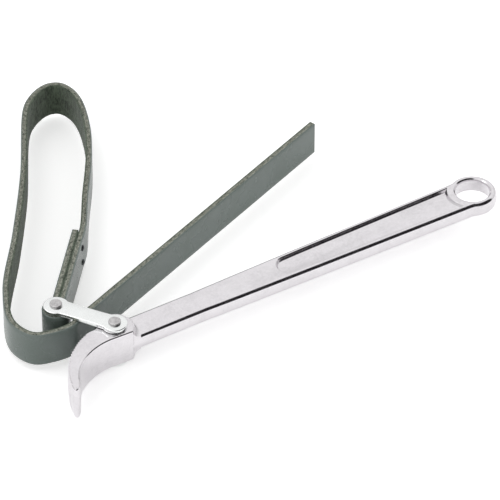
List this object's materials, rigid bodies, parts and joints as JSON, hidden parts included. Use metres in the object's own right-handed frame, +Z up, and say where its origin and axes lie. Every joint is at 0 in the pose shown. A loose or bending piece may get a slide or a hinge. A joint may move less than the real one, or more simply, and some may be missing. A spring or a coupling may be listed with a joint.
{
  "type": "oil filter strap wrench",
  "caption": "Strap wrench for oil filters: forged handle with a toothed claw and hanging ring, riveted link plates, and a laminated strap that is drawn tight through the link.",
  "frame": {"origin": "pivot rivet's axis at the flat underside of its lower head, the plane the rivet heads rest on", "axes": "+X along the handle from pivot to hanging ring, +Y towards the strap loop's side, +Z up along the rivets"},
  "size_m": [0.248, 0.2013, 0.0245],
  "materials": {
    "forged_steel": "bright satin chrome",
    "plate_steel": "satin",
    "rivet_steel": "satin",
    "strap_grip": "rough suede",
    "strap_core": "cut fibre edge",
    "strap_cover": "smooth satin"
  },
  "bodies": {
    "handle": {"forged_handle": "forged_steel"},
    "link": {"link_plate_lower": "plate_steel", "link_plate_upper": "plate_steel", "pivot_rivet": "rivet_steel", "eye_rivet": "rivet_steel", "eye_spacer": "rivet_steel"},
    "strap": {"strap_grip_face": "strap_grip", "strap_core": "strap_core", "strap_cover": "strap_cover", "strap_rivet_lower": "rivet_steel", "strap_rivet_upper": "rivet_steel"},
    "strap_tail": {"strap_tail_grip_face": "strap_grip", "strap_tail_core": "strap_core", "strap_tail_cover": "strap_cover"}
  },
  "joints": [
    {"name": "link_pivot", "type": "hinge", "parent": "handle", "child": "link", "pos_m": [0, 0, 0], "axis": [0, 0, 1], "range_deg": [-12, 18]},
    {"name": "strap_eye_pivot", "type": "hinge", "parent": "link", "child": "strap", "pos_m": [-0.01658, 0.02476, 0], "axis": [0, 0, 1], "range_deg": [-8, 12]},
    {"name": "strap_pull", "type": "slide", "parent": "strap", "child": "strap_tail", "axis": [0.9336, 0.3584, 0], "range_m": [0, 0.17]}
  ]
}
